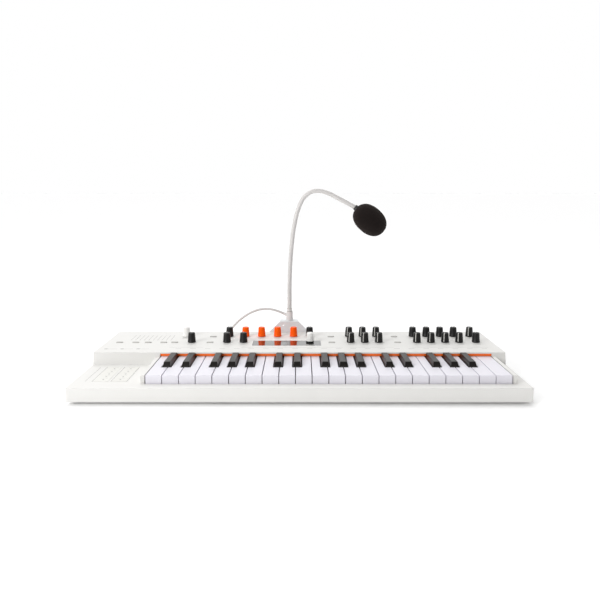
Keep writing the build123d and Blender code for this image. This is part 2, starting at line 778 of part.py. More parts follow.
def socket_bore(x, radius, proud, depth):
    """Bore from the nose's mouth inwards, in the part being built."""
    with BuildSketch(Plane.XZ.offset(-back_y - proud)) as mouth:
        with Locations((x, socket_z)):
            Circle(radius)
    extrude(mouth.sketch, amount=depth, mode=Mode.SUBTRACT)


nose_proud = 1.6
socket_parts = []
for jack_x in quarter_jacks_x:
    with BuildPart() as jack:
        socket_body(jack_x, jack_body_width, jack_depth, jack_body_height)
        socket_nose(jack_x, jack_nose_radius, nose_proud)
        socket_bore(jack_x, jack_bore_radius, nose_proud, jack_depth)
    socket_parts.append(jack.part)
with BuildPart() as mini_jack:
    socket_body(mini_jack_x, 9.0, 14.0, jack_body_height)
    socket_nose(mini_jack_x, mini_nose_radius, nose_proud)
    socket_bore(mini_jack_x, mini_bore_radius, nose_proud, 13.0)
socket_parts.append(mini_jack.part)
din_pin_angles = (0, 45, 90, 135, 180)
for socket_x in din_x:
    with BuildPart() as din:
        socket_body(socket_x, 18.0, 12.0, jack_body_height)
        socket_nose(socket_x, din_radius, 0)
        socket_bore(socket_x, din_radius - 1.0, 0, din_depth)
        with BuildSketch(Plane.XZ.offset(-back_y + din_depth)):
            with Locations((socket_x, socket_z)):
                Circle(4.9)
        extrude(amount=-(din_depth - 1.5))
        for angle in din_pin_angles:
            pin_x = socket_x + 3.4 * cos(radians(angle))
            pin_z = socket_z - 3.4 * sin(radians(angle)) + 1.0
            with BuildSketch(Plane.XZ.offset(-back_y + 1.5)):
                with Locations((pin_x, pin_z)):
                    Circle(0.8)
            extrude(amount=6.0, mode=Mode.SUBTRACT)
    socket_parts.append(din.part)
with BuildPart() as usb_socket:
    with BuildSketch(Plane.XZ.offset(-back_y)):
        with Locations((usb_x, socket_z)):
            Rectangle(usb_width + 3.0, usb_height + 3.0)
    extrude(amount=16.0)
    with BuildSketch(Plane.XZ.offset(-back_y)):
        with Locations((usb_x, socket_z)):
            Rectangle(usb_width, usb_height)
    extrude(amount=usb_depth, mode=Mode.SUBTRACT)
socket_parts.append(usb_socket.part)
with BuildPart() as inlet:
    socket_body(inlet_x, 9.0, 13.0, 11.0)
    socket_nose(inlet_x, inlet_bore_radius + 1.2, 0)
    socket_bore(inlet_x, inlet_bore_radius, 0, inlet_depth)
    with BuildSketch(Plane.XZ.offset(-back_y + inlet_depth)):
        with Locations((inlet_x, socket_z)):
            Circle(inlet_pin_radius)
    extrude(amount=-(inlet_depth - 1.0))
socket_parts.append(inlet.part)
with BuildPart() as power_switch:
    socket_body(power_x, 12.0, 14.0, 11.0)
    socket_bore(power_x, power_radius + 0.05, 0, 12.5)
socket_parts.append(power_switch.part)
with BuildPart() as jack_board:
    with BuildSketch(Plane.XY.offset(jack_board_z)):
        with Locations(((jack_board_left + jack_board_right) / 2, rear_inner_y - 2.0 - jack_board_depth / 2)):
            Rectangle(jack_board_right - jack_board_left, jack_board_depth)
        with Locations(*boss_places[4:]):
            Circle(tray_boss_radius + 0.6, mode=Mode.SUBTRACT)
    extrude(amount=board_thickness)
socket_parts.append(jack_board.part)
rear_sockets = Compound(children=socket_parts, label="rear_sockets")
export_step(rear_sockets, "parts/rear_sockets.step")

with BuildPart() as power_button:
    with BuildSketch(Plane.XZ.offset(-back_y - 3.0)):
        with Locations((power_x, socket_z)):
            Circle(power_radius)
    extrude(amount=12.0)
    fillet(power_button.edges().group_by(Axis.Y)[-1], radius=0.5)
power_button.part.label = "power_button"
export_step(power_button.part, "parts/power_button.step")

# ---------------------------------------------------------------- screws
with BuildPart() as screws:
    for place in boss_places:
        with BuildSketch(Plane.XY.offset(base_z + head_pocket_depth - screw_head_height)):
            with Locations(place):
                Circle(screw_head_radius)
        extrude(amount=screw_head_height)
        with BuildSketch(Plane.XY.offset(base_z + head_pocket_depth)):
            with Locations(place):
                Circle(screw_radius)
        extrude(amount=10.0)
    for place in chassis_post_places:
        with BuildSketch(Plane.XY.offset(chassis_z + chassis_thickness)):
            with Locations(place):
                Circle(screw_head_radius)
        extrude(amount=screw_head_height)
        with BuildSketch(Plane.XY.offset(base_z + 1.2)):
            with Locations(place):
                Circle(screw_radius)
        extrude(amount=chassis_z + chassis_thickness - base_z - 1.2)
    for place in board_boss_places:
        with BuildSketch(Plane.XY.offset(board_under_z - screw_head_height)):
            with Locations(place):
                Circle(screw_head_radius)
        extrude(amount=screw_head_height)
        with BuildSketch(Plane.XY.offset(board_under_z)):
            with Locations(place):
                Circle(screw_radius)
        extrude(amount=8.0)
    for place in bracket_screw_places:
        with BuildSketch(Plane.XZ.offset(-back_y - bracket_thickness - screw_head_height)):
            with Locations(place):
                Circle(screw_head_radius)
        extrude(amount=screw_head_height)
        with BuildSketch(Plane.XZ.offset(-back_y - bracket_thickness)):
            with Locations(place):
                Circle(screw_radius)
        extrude(amount=9.0)
screws.part.label = "screws"
export_step(screws.part, "parts/screws.step")

# ---------------------------------------------------------------- microphone
bracket_top_z = panel_z + bracket_top_rise
bracket_foot_z = base_z + 8.0
stem_y = back_y + stem_setback
stem_x = bracket_centre + 0.5
stem_top_z = bracket_top_z + stem_height
collar_top_z = stem_top_z + collar_height

with BuildPart() as mic_bracket:
    with BuildSketch(Plane.XZ.offset(-back_y)):
        with BuildLine():
            Polyline(
                (bracket_centre - bracket_width / 2, bracket_foot_z),
                (bracket_centre + bracket_width / 2, bracket_foot_z),
                (bracket_centre + bracket_width / 2, panel_z - 1.0),
                (bracket_centre + bracket_top_width / 2, bracket_top_z),
                (bracket_centre - bracket_top_width / 2, bracket_top_z),
                (bracket_centre - bracket_width / 2, panel_z - 1.0), close=True,
            )
        make_face()
    extrude(amount=-bracket_thickness)
    with BuildSketch(Plane.XY.offset(bracket_top_z)):
        with Locations((bracket_centre, (back_y + stem_y + 8.0) / 2)):
            Rectangle(bracket_top_width, stem_y + 8.0 - back_y)
    extrude(amount=-bracket_thickness)
    flange_corners = mic_bracket.edges().filter_by(Axis.Z).group_by(Axis.Y)[-1]
    fillet(flange_corners, radius=5.0)
    with BuildSketch(Plane.XZ.offset(-back_y + 1)):
        with Locations(*bracket_screw_places):
            Circle(screw_hole_radius + 0.3)
        with Locations((bracket_centre - 9.4, bracket_top_z - 6.5)):
            Circle(1.1)
    extrude(amount=-bracket_thickness - 2, mode=Mode.SUBTRACT)
mic_bracket.part.label = "mic_bracket"
export_step(mic_bracket.part, "parts/mic_bracket.step")

# the cable leaves the stem to the left through a short tapered relief
outlet_z = bracket_top_z + 6.9
outlet_angle = 24.0
outlet_length = 7.0
outlet_start = 3.5
outlet_dir = Vector(-cos(radians(outlet_angle)), 0, sin(radians(outlet_angle)))
outlet_base = Vector(stem_x, stem_y, outlet_z) + outlet_dir * outlet_start
outlet_tip = outlet_base + outlet_dir * outlet_length

with BuildPart() as mic_stem:
    with BuildSketch(Plane((stem_x, stem_y, 0), x_dir=(1, 0, 0), z_dir=(0, -1, 0))):
        with BuildLine():
            Polyline(
                (0, bracket_top_z), (stem_foot_radius, bracket_top_z), (stem_neck_radius, stem_top_z),
                (collar_radius, stem_top_z), (collar_radius, collar_top_z),
                (neck_radius, collar_top_z), (neck_radius, collar_top_z - neck_socket),
                (0, collar_top_z - neck_socket), close=True,
            )
        make_face()
    revolve(axis=Axis((stem_x, stem_y, 0), (0, 0, 1)))
    with BuildSketch(Plane(outlet_base, x_dir=(0, 1, 0), z_dir=outlet_dir)):
        Circle(2.9)
    with BuildSketch(Plane(outlet_tip, x_dir=(0, 1, 0), z_dir=outlet_dir)):
        Circle(2.1)
    loft()
mic_stem.part.label = "mic_stem"
export_step(mic_stem.part, "parts/mic_stem.step")

# gooseneck: three lengths joined by ball joints, in the plane of the stem
pivot_low = (stem_x, 120.0)
pivot_high = (stem_x + 8.6, 213.0)
neck_end = (89.5, 237.1)
middle_route = [pivot_low, (stem_x + 1.8, 160.0), (stem_x + 5.7, 198.0), pivot_high]
upper_route = [
    pivot_high, (stem_x + 11.5, 228.0), (stem_x + 20.5, 252.0), (stem_x + 36.0, 264.5),
    (stem_x + 56.0, 263.0), (stem_x + 78.0, 252.0), neck_end,
]
ball_radius = 3.0
ball_clearance = 0.05
ball_neck_radius = 1.7
ball_setback = 2.9  # tube end beyond the pivot
cup_depth = 0.5  # cup's rim beyond the pivot


def bend_radii(points):
    """Largest arc that each corner of a route takes, from 0.45 of its shorter run."""
    radii = []
    for before, corner, after in zip(points, points[1:], points[2:]):
        run_in = Vector(corner) - Vector(before)
        run_out = Vector(after) - Vector(corner)
        turn = radians(run_in.get_angle(run_out))
        radii.append(0.45 * min(run_in.length, run_out.length) / tan(turn / 2))
    return radii


def neck_points(route):
    """Route points of the gooseneck in space, from (X, Z) pairs in the stem's plane."""
    return [(x, stem_y, z) for x, z in route]


def along(start, end, distance):
    """Point at a distance from start towards end."""
    step = Vector(end) - Vector(start)
    return Vector(start) + step.normalized() * distance


def neck_length(points, start_offset, end_offset):
    """Tube of the part being built, set back from its first pivot and ending past its last one."""
    route = [tuple(along(points[0], points[1], start_offset))] + points[1:-1]
    route.append(tuple(along(points[-1], points[-2], -end_offset)))
    with BuildLine() as path:
        FilletPolyline(*route, radius=bend_radii(route))
    with BuildSketch(Plane(path.line @ 0, z_dir=path.line % 0)) as ring:
        Circle(neck_radius)
    sweep(ring.sketch, path=path.line)


def ball_end(points):
    """Ball and its neck at the first pivot of the part being built."""
    start = Vector(points[0])
    direction = Vector(points[1]) - start
    with BuildSketch(Plane(start, z_dir=direction)) as shank:
        Circle(ball_neck_radius)
    extrude(shank.sketch, amount=ball_setback + 0.5)
    with Locations(start):
        Sphere(ball_radius)


def cup_end(points):
    """Spherical cup at the last pivot of the part being built."""
    with Locations(Vector(points[-1])):
        Sphere(ball_radius + ball_clearance, mode=Mode.SUBTRACT)


middle_points = neck_points(middle_route)
upper_points = neck_points(upper_route)
lower_foot = (stem_x, stem_y, collar_top_z - neck_socket)

with BuildPart() as gooseneck_lower:
    with BuildSketch(Plane.XY.offset(lower_foot[2])):
        with Locations((stem_x, stem_y)):
            Circle(neck_radius)
    extrude(amount=pivot_low[1] + cup_depth - lower_foot[2])
    cup_end([lower_foot, (stem_x, stem_y, pivot_low[1])])
gooseneck_lower.part.label = "gooseneck_lower"
export_step(gooseneck_lower.part, "parts/gooseneck_lower.step")

with BuildPart() as gooseneck_middle:
    neck_length(middle_points, ball_setback, cup_depth)
    ball_end(middle_points)
    cup_end(middle_points)
gooseneck_middle.part.label = "gooseneck_middle"
export_step(gooseneck_middle.part, "parts/gooseneck_middle.step")

with BuildPart() as gooseneck_upper:
    neck_length(upper_points, ball_setback, 0)
    ball_end(upper_points)
gooseneck_upper.part.label = "gooseneck_upper"
export_step(gooseneck_upper.part, "parts/gooseneck_upper.step")

# capsule and foam windscreen on the gooseneck's end
head_angle = 41.0
head_dir = Vector(cos(radians(head_angle)), 0, -sin(radians(head_angle)))
head_start = Vector(neck_end[0], stem_y, neck_end[1])
capsule_radius = 5.5
capsule_length = 34.0
capsule_plane = Plane(head_start, x_dir=(0, 1, 0), z_dir=head_dir)

with BuildPart() as mic_capsule:
    with BuildSketch(capsule_plane.offset(4.0)):
        Circle(capsule_radius)
    extrude(amount=capsule_length - 4.0)
    with BuildSketch(capsule_plane.offset(-2.0)):
        Circle(neck_radius + 0.6)
    with BuildSketch(capsule_plane.offset(4.0)):
        Circle(capsule_radius)
    loft()
    # bore that the tube's end sits in
    add(gooseneck_upper.part, mode=Mode.SUBTRACT)
mic_capsule.part.label = "mic_capsule"
export_step(mic_capsule.part, "parts/mic_capsule.step")

with BuildPart() as windscreen:
    head_frame = Plane(head_start, x_dir=(0, 1, 0), z_dir=head_dir)
    centre_far = windscreen_length / 2
    with BuildSketch(Plane(head_start, x_dir=head_dir, z_dir=(0, 1, 0))):
        with Locations((centre_far, 0)):
            Ellipse(windscreen_length / 2, windscreen_radius)
        with Locations((centre_far, -windscreen_length)):
            Rectangle(2 * windscreen_length, 2 * windscreen_length, mode=Mode.SUBTRACT)
    revolve(axis=Axis(head_start, head_dir))
    with BuildSketch(head_frame.offset(-5.0)):
        Circle(capsule_radius + 0.02)
    extrude(amount=capsule_length + 5.0 + 0.5, mode=Mode.SUBTRACT)
windscreen.part.label = "windscreen"
export_step(windscreen.part, "parts/windscreen.step")

# ---------------------------------------------------------------- microphone cable and plug
plug_top_z = socket_z + 6.0
plug_relief = 5.0
plug_width = 13.0
plug_depth = 14.0
plug_y = back_y + nose_proud + 0.2 + plug_depth / 2
cable_route = [
    tuple(outlet_tip),
    tuple(outlet_tip + outlet_dir * 11.0),
    (-51.0, stem_y, 74.3),
    (-66.5, stem_y - 0.3, 72.8),
    (-81.5, stem_y - 0.8, 66.6),
    (-95.5, stem_y - 1.3, 57.0),
    (-105.8, stem_y - 1.8, 47.0),
    (audio_input_x + 2.1, plug_y, plug_top_z + 18.0),
    (audio_input_x, plug_y, plug_top_z + plug_relief + 6.5),
    (audio_input_x, plug_y, plug_top_z + plug_relief),
]
cable_radii = bend_radii(cable_route)
print("cable bend radii", [round(r, 1) for r in cable_radii])

with BuildPart() as mic_cable:
    with BuildLine() as cable_path:
        FilletPolyline(*cable_route, radius=cable_radii)
    with BuildSketch(Plane(cable_path.line @ 0, z_dir=cable_path.line % 0)):
        Circle(cable_radius)
    sweep(path=cable_path.line)
mic_cable.part.label = "mic_cable"
export_step(mic_cable.part, "parts/mic_cable.step")
section = pi * cable_radius ** 2
cable_length = cable_path.wire().length
print("cable length", round(cable_length, 1))
print("cable volume over section times length", round(mic_cable.part.volume / (section * cable_length), 4))

with BuildPart() as mic_plug:
    with BuildSketch(Plane.XY.offset(socket_z - 6.5)):
        with Locations((audio_input_x, plug_y)):
            RectangleRounded(plug_width, plug_depth, 3.0)
    extrude(amount=plug_top_z - socket_z + 6.5)
    with BuildSketch(Plane.XY.offset(plug_top_z)):
        with Locations((audio_input_x, plug_y)):
            Circle(4.6)
    with BuildSketch(Plane.XY.offset(plug_top_z + plug_relief)):
        with Locations((audio_input_x, plug_y)):
            Circle(2.4)
    loft()
    with BuildSketch(Plane.XZ.offset(-(plug_y - plug_depth / 2 + 0.5))):
        with Locations((audio_input_x, socket_z)):
            Circle(jack_bore_radius - 0.08)
    extrude(amount=jack_depth - 3.0)
mic_plug.part.label = "mic_plug"
export_step(mic_plug.part, "parts/mic_plug.step")
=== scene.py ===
import math
import random

import bmesh
import bpy
from mathutils import Matrix, Vector


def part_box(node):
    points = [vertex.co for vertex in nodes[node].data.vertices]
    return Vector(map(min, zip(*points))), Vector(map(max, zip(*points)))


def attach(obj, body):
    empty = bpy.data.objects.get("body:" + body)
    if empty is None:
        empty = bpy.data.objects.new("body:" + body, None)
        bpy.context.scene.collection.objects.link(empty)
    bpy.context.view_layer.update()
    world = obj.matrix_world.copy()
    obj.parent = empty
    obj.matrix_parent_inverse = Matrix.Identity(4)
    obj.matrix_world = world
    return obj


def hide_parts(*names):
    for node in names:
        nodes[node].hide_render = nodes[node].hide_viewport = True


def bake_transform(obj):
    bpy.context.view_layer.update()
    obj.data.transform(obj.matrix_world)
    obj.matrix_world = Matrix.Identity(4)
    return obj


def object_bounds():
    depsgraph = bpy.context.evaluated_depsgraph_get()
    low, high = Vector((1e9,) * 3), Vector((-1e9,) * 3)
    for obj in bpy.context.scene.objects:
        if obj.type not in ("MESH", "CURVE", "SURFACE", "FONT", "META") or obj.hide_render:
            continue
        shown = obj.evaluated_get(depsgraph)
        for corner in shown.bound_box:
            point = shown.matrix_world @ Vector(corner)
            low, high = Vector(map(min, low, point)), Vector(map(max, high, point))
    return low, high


# The looks of a desktop synthesizer with slim keys, a raised knob panel and a gooseneck microphone.
# Metres, in the model's own frame: +X is the player's right, +Y the back, +Z up.

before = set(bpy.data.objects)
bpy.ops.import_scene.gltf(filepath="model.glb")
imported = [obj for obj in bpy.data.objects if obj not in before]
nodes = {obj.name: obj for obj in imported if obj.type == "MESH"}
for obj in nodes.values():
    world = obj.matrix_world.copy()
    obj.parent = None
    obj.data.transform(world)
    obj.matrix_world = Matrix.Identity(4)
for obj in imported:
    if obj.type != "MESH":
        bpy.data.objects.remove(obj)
cad_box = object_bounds()
random.seed(7)

MM = 0.001


# ---------------------------------------------------------------- places, from the frame
case_low, case_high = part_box("top_case")
front_y = case_low.y
back_y = case_high.y
panel_z = case_high.z
stem_low, stem_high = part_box("mic_stem")
stem_y = (stem_low.y + stem_high.y) / 2
stem_x = stem_high.x - 5.7 * MM
neck_low, neck_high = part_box("gooseneck_lower")
neck_radius = (neck_high.y - neck_low.y) / 2
table_z = cad_box[0].z


# ---------------------------------------------------------------- materials
def linear(hex_code):
    """Linear colour of an sRGB hex code."""
    channels = [int(hex_code[i:i + 2], 16) / 255 for i in (1, 3, 5)]
    return [c / 12.92 if c <= 0.04045 else ((c + 0.055) / 1.055) ** 2.4 for c in channels] + [1.0]


def add_node(tree, kind, values=None, links=None, **settings):
    """A node with its settings, the values of its own sockets and the links into it."""
    node = tree.nodes.new(kind)
    for name, value in settings.items():
        setattr(node, name, value)
    for socket, value in (values or {}).items():
        node.inputs[socket].default_value = value
    for socket, source in (links or {}).items():
        tree.links.new(source, node.inputs[socket])
    return node


def start_material(name):
    """An empty node material and the Object coordinates of the piece that wears it."""
    material = bpy.data.materials.new(name)
    material.use_nodes = True
    material.node_tree.nodes.clear()
    place = add_node(material.node_tree, "ShaderNodeTexCoord").outputs["Object"]
    return material, material.node_tree, place


def finish_material(material, tree, values, links):
    """The material with its surface: plain values, and links from its patterns."""
    shader = add_node(tree, "ShaderNodeBsdfPrincipled", values, links)
    add_node(tree, "ShaderNodeOutputMaterial", links={"Surface": shader.outputs["BSDF"]})
    return material


def noise(tree, place, size, detail=2.0, roughness=0.5):
    """Noise whose lumps are about size metres across."""
    values = {"Scale": 1 / size, "Detail": detail, "Roughness": roughness}
    return add_node(tree, "ShaderNodeTexNoise", values, {"Vector": place}).outputs["Fac"]


def spread(tree, source, low, high, source_low=0.3, source_high=0.7):
    """A pattern's values moved to the range from low to high."""
    values = {"From Min": source_low, "From Max": source_high, "To Min": low, "To Max": high}
    return add_node(tree, "ShaderNodeMapRange", values, {"Value": source}).outputs["Result"]


def two_colours(tree, factor, first, second):
    """A colour between two hex codes, by a pattern."""
    mix = add_node(tree, "ShaderNodeMix", links={"Factor": factor}, data_type="RGBA")
    mix.inputs["A"].default_value = linear(first)
    mix.inputs["B"].default_value = linear(second)
    return mix.outputs["Result"]


def bumped(tree, height, depth, strength=1.0, under=None):
    """Surface direction of a pattern that is depth metres high."""
    values = {"Strength": strength, "Distance": depth}
    links = {"Height": height}
    if under is not None:
        links["Normal"] = under
    return add_node(tree, "ShaderNodeBump", values, links).outputs["Normal"]


def moulded_plastic(name, light, dark, roughness, texture_size, texture_depth, uneven=0.05, shine=0.5):
    """Injection-moulded plastic: eroded-tool texture, faint cloudiness and uneven gloss from handling."""
    material, tree, place = start_material(name)
    cloud = noise(tree, place, 38 * MM, detail=3.0)
    texture = noise(tree, place, texture_size, detail=3.0, roughness=0.6)
    worn = spread(tree, noise(tree, place, 22 * MM, detail=4.0), roughness - uneven, roughness + uneven)
    return finish_material(
        material, tree, {"IOR": 1.5, "Specular IOR Level": shine},
        {
            "Base Color": two_colours(tree, spread(tree, cloud, 0, 1), light, dark),
            "Roughness": worn,
            "Normal": bumped(tree, texture, texture_depth),
        },
    )


# ABS casing, warm white: a fine sparked texture, drawn at 0.9 mm so that it shows
case_abs = moulded_plastic("sparked_abs_casing", "#E0DFDC", "#DEDDDA", 0.5, 0.9 * MM, 0.025 * MM)
# ABS white keys, a cooler white: polished tool, so a soft gloss
white_key_abs = moulded_plastic("polished_abs_white_keys", "#E4E2EA", "#E2E0E8", 0.3, 0.6 * MM, 0.003 * MM, 0.015)
# ABS black keys: coarse anti-slip texture that greys under a low light
black_key_abs = moulded_plastic("grained_abs_black_keys", "#0D0907", "#15100D", 0.32, 0.7 * MM, 0.04 * MM, 0.03, 0.35)
# soft-touch lacquer on ABS knobs: a satin black that shows handling
knob_black = moulded_plastic("soft_touch_black_knobs", "#100F0F", "#151414", 0.42, 0.5 * MM, 0.02 * MM, 0.04, 0.35)
knob_white = moulded_plastic("satin_abs_white_knobs", "#F2F1EF", "#EFEEEB", 0.38, 0.5 * MM, 0.02 * MM)
knob_orange = moulded_plastic("satin_abs_orange_knobs", "#FF6000", "#FF5800", 0.36, 0.5 * MM, 0.02 * MM, 0.04, 0.15)
# ABS accent strip along the backs of the keys
strip_orange = moulded_plastic("satin_abs_orange_strip", "#FF7420", "#FF6D1A", 0.4, 0.8 * MM, 0.02 * MM)
# glass-filled nylon for what is inside: the keybed
inner_nylon = moulded_plastic("glass_filled_nylon_inner", "#19191A", "#222223", 0.55, 1.2 * MM, 0.05 * MM)
socket_pbt = moulded_plastic("pbt_sockets", "#121213", "#191919", 0.38, 1.0 * MM, 0.03 * MM)
button_abs = moulded_plastic("satin_abs_buttons", "#BFBEBA", "#B8B7B3", 0.4, 0.6 * MM, 0.02 * MM)
plug_pvc = moulded_plastic("moulded_pvc_plug", "#BDBAB7", "#B6B3B0", 0.45, 1.2 * MM, 0.04 * MM)
capsule_abs = moulded_plastic("satin_abs_capsule", "#2A2A2A", "#333232", 0.4, 0.8 * MM, 0.02 * MM)
# silk-screen ink: matt, a little thin
print_ink = moulded_plastic("silk_screen_grey_ink", "#9A9996", "#A1A09D", 0.6, 0.4 * MM, 0.01 * MM)
line_ink = moulded_plastic("silk_screen_dark_ink", "#6C6B69", "#747371", 0.6, 0.4 * MM, 0.01 * MM)
pointer_ink = moulded_plastic("pad_printed_white_pointers", "#F2F1ED", "#E9E8E4", 0.5, 0.4 * MM, 0.01 * MM)
# polyester film over the touch strips: smoother than the case around it
touch_film = moulded_plastic("printed_polyester_film", "#E0DFDA", "#DDDCD7", 0.34, 1.6 * MM, 0.01 * MM)


def powder_coat(name, light, dark, roughness):
    """Powder coat on steel: a slow orange-peel ripple under a satin skin."""
    material, tree, place = start_material(name)
    peel = noise(tree, place, 1.6 * MM, detail=1.0)
    fleck = noise(tree, place, 0.6 * MM, detail=2.0)
    return finish_material(
        material, tree, {"IOR": 1.5, "Coat Weight": 0.15, "Coat Roughness": 0.3},
        {
            "Base Color": two_colours(tree, spread(tree, fleck, 0, 1), light, dark),
            "Roughness": spread(tree, peel, roughness - 0.05, roughness + 0.05),
            "Normal": bumped(tree, peel, 0.04 * MM),
        },
    )


bracket_coat = powder_coat("powder_coated_steel_bracket", "#E0E3E5", "#DADDDF", 0.45)
stem_coat = powder_coat("powder_coated_zinc_stem", "#DEDBDA", "#D9D6D5", 0.4)
neck_coat = powder_coat("lacquered_spiral_steel_sheath", "#D2CFCD", "#C9C6C4", 0.26)


def smoked_acrylic():
    """Smoked acrylic window: near-black behind a polished face with faint polishing haze."""
    material, tree, place = start_material("smoked_acrylic_window")
    haze = noise(tree, place, 9 * MM, detail=4.0)
    return finish_material(
        material, tree, {"IOR": 1.49, "Coat Weight": 1.0, "Coat Roughness": 0.02, "Coat IOR": 1.49},
        {
            "Base Color": two_colours(tree, spread(tree, haze, 0, 1), "#2A2A29", "#302F2E"),
            "Roughness": spread(tree, haze, 0.06, 0.1),
        },
    )


def vulcanised_rubber():
    """Black rubber feet: matt, greyed by dust in a fine texture."""
    material, tree, place = start_material("vulcanised_rubber_feet")
    dust = noise(tree, place, 1.4 * MM, detail=4.0)
    return finish_material(
        material, tree, {"IOR": 1.52, "Sheen Weight": 0.15, "Sheen Roughness": 0.5},
        {
            "Base Color": two_colours(tree, spread(tree, dust, 0, 1), "#161616", "#242322"),
            "Roughness": spread(tree, dust, 0.7, 0.85),
            "Normal": bumped(tree, dust, 0.06 * MM),
        },
    )


def turned_metal(name, light, dark, roughness):
    """Plated or turned metal: fine lathe lines that break its highlights."""
    material, tree, place = start_material(name)
    lines = noise(tree, place, 0.5 * MM, detail=2.0)
    stain = noise(tree, place, 6 * MM, detail=4.0)
    return finish_material(
        material, tree, {"Metallic": 1.0},
        {
            "Base Color": two_colours(tree, spread(tree, stain, 0, 1), light, dark),
            "Roughness": spread(tree, stain, roughness - 0.06, roughness + 0.08),
            "Normal": bumped(tree, lines, 0.01 * MM),
        },
    )


def solder_mask():
    """Glass-epoxy circuit board under green solder mask, with copper runs showing as paler lanes."""
    material, tree, place = start_material("solder_masked_glass_epoxy")
    lanes = add_node(
        tree, "ShaderNodeTexBrick",
        {"Scale": 1 / (40 * MM), "Mortar Size": 0.01, "Color1": linear("#0C3A22"), "Color2": linear("#0A331E"),
         "Mortar": linear("#1D5A38")},
        {"Vector": place},
    )
    return finish_material(
        material, tree, {"IOR": 1.5, "Roughness": 0.32},
        {"Base Color": lanes.outputs["Color"], "Normal": bumped(tree, lanes.outputs["Fac"], 0.03 * MM)},
    )


def open_cell_foam():
    """Open-cell polyurethane foam, brown-black: pits between soft walls, with painted shade making the pits darker.
    """
    material, tree, place = start_material("open_cell_polyurethane_foam")
    pores = add_node(tree, "ShaderNodeTexVoronoi", {"Scale": 1 / (1.1 * MM)}, {"Vector": place})
    pit_depth_and_painted_shade = spread(tree, pores.outputs["Distance"], 0, 1, 0.1, 0.6)
    fuzz = noise(tree, place, 0.5 * MM, detail=4.0)
    first = bumped(tree, fuzz, 0.15 * MM, 0.6)
    return finish_material(
        material, tree,
        {"IOR": 1.4, "Roughness": 0.95, "Specular IOR Level": 0.2, "Sheen Weight": 0.25, "Sheen Roughness": 0.6,
         "Sheen Tint": linear("#6B5E57")},
        {
            # the pits are painted darker than the walls: painted shade in the hollows, over the foam's own
            # brown-black
            "Base Color": two_colours(tree, pit_depth_and_painted_shade, "#080606", "#1C1615"),
            "Normal": bumped(tree, pit_depth_and_painted_shade, 0.5 * MM, 0.8, first),
        },
    )


def extruded_pvc():
    """Extruded PVC cable sheath, pale grey: slight drag lines along a satin skin."""
    material, tree, place = start_material("extruded_pvc_cable_sheath")
    drag = noise(tree, place, 2.0 * MM, detail=3.0)
    return finish_material(
        material, tree, {"IOR": 1.53},
        {
            "Base Color": two_colours(tree, spread(tree, drag, 0, 1), "#D2CFCD", "#C9C6C4"),
            "Roughness": spread(tree, drag, 0.38, 0.48),
            "Normal": bumped(tree, drag, 0.03 * MM),
        },
    )


window_acrylic = smoked_acrylic()
foot_rubber = vulcanised_rubber()
screw_steel = turned_metal("zinc_plated_steel_screws", "#8F9092", "#7C7D7F", 0.35)
contact_nickel = turned_metal("nickel_plated_contacts", "#C9C6BF", "#B7B3AB", 0.25)
board_laminate = solder_mask()
foam = open_cell_foam()
cable_pvc = extruded_pvc()

knob_nodes = [name for name in nodes if name.endswith("_knob") or name.endswith("_encoder")]
orange_nodes = ("wave_encoder", "timbre_encoder", "shape_encoder", "level_encoder")
white_nodes = ("master_volume_knob", "menu_encoder")
node_materials = {
    "top_case": case_abs, "bottom_case": case_abs, "rubber_feet": foot_rubber, "screws": screw_steel,
    "touch_strips": touch_film, "accent_strip": strip_orange, "key_chassis": inner_nylon,
    "hinge_rod": screw_steel, "contact_board": board_laminate, "main_board": board_laminate,
    "display_window": window_acrylic, "rear_sockets": socket_pbt, "power_button": knob_black,
    "cheek_buttons": button_abs, "panel_buttons": button_abs, "mic_bracket": bracket_coat,
    "mic_stem": stem_coat, "mic_capsule": capsule_abs, "mic_plug": plug_pvc, "mic_cable": cable_pvc,
    "windscreen": foam,
}
for name, node in nodes.items():
    if name.startswith("white_keys"):
        material = white_key_abs
    elif name.startswith("black_keys"):
        material = black_key_abs
    elif name.startswith("gooseneck"):
        material = neck_coat
    else:
        material = node_materials.get(name, knob_black)
    node.data.materials.clear()
    node.data.materials.append(material)


# ---------------------------------------------------------------- making pieces
def new_piece(name, shape, materials, body, smooth_angle=35):
    """The finished mesh of a bmesh as a piece that moves with a body."""
    bmesh.ops.recalc_face_normals(shape, faces=shape.faces)
    mesh = bpy.data.meshes.new(name)
    shape.to_mesh(mesh)
    shape.free()
    for material in materials:
        mesh.materials.append(material)
    mesh.shade_smooth()
    mesh.set_sharp_from_angle(angle=math.radians(smooth_angle))
    piece = bpy.data.objects.new(name, mesh)
    bpy.context.scene.collection.objects.link(piece)
    if body is not None:
        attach(piece, body)
    return piece


def turned(shape, profile, steps):
    """A closed turned solid in shape, from (radius, height) pairs that start and end on the axis."""
    verts = [shape.verts.new((radius, 0, height)) for radius, height in profile]
    edges = [shape.edges.new(pair) for pair in zip(verts, verts[1:])]
    bmesh.ops.spin(
        shape, geom=verts + edges, cent=(0, 0, 0), axis=(0, 0, 1), angle=2 * math.pi, steps=steps, use_merge=True,
    )
    bmesh.ops.remove_doubles(shape, verts=shape.verts[:], dist=0.001 * MM)


# ---------------------------------------------------------------- knobs
knob_height = 14.7
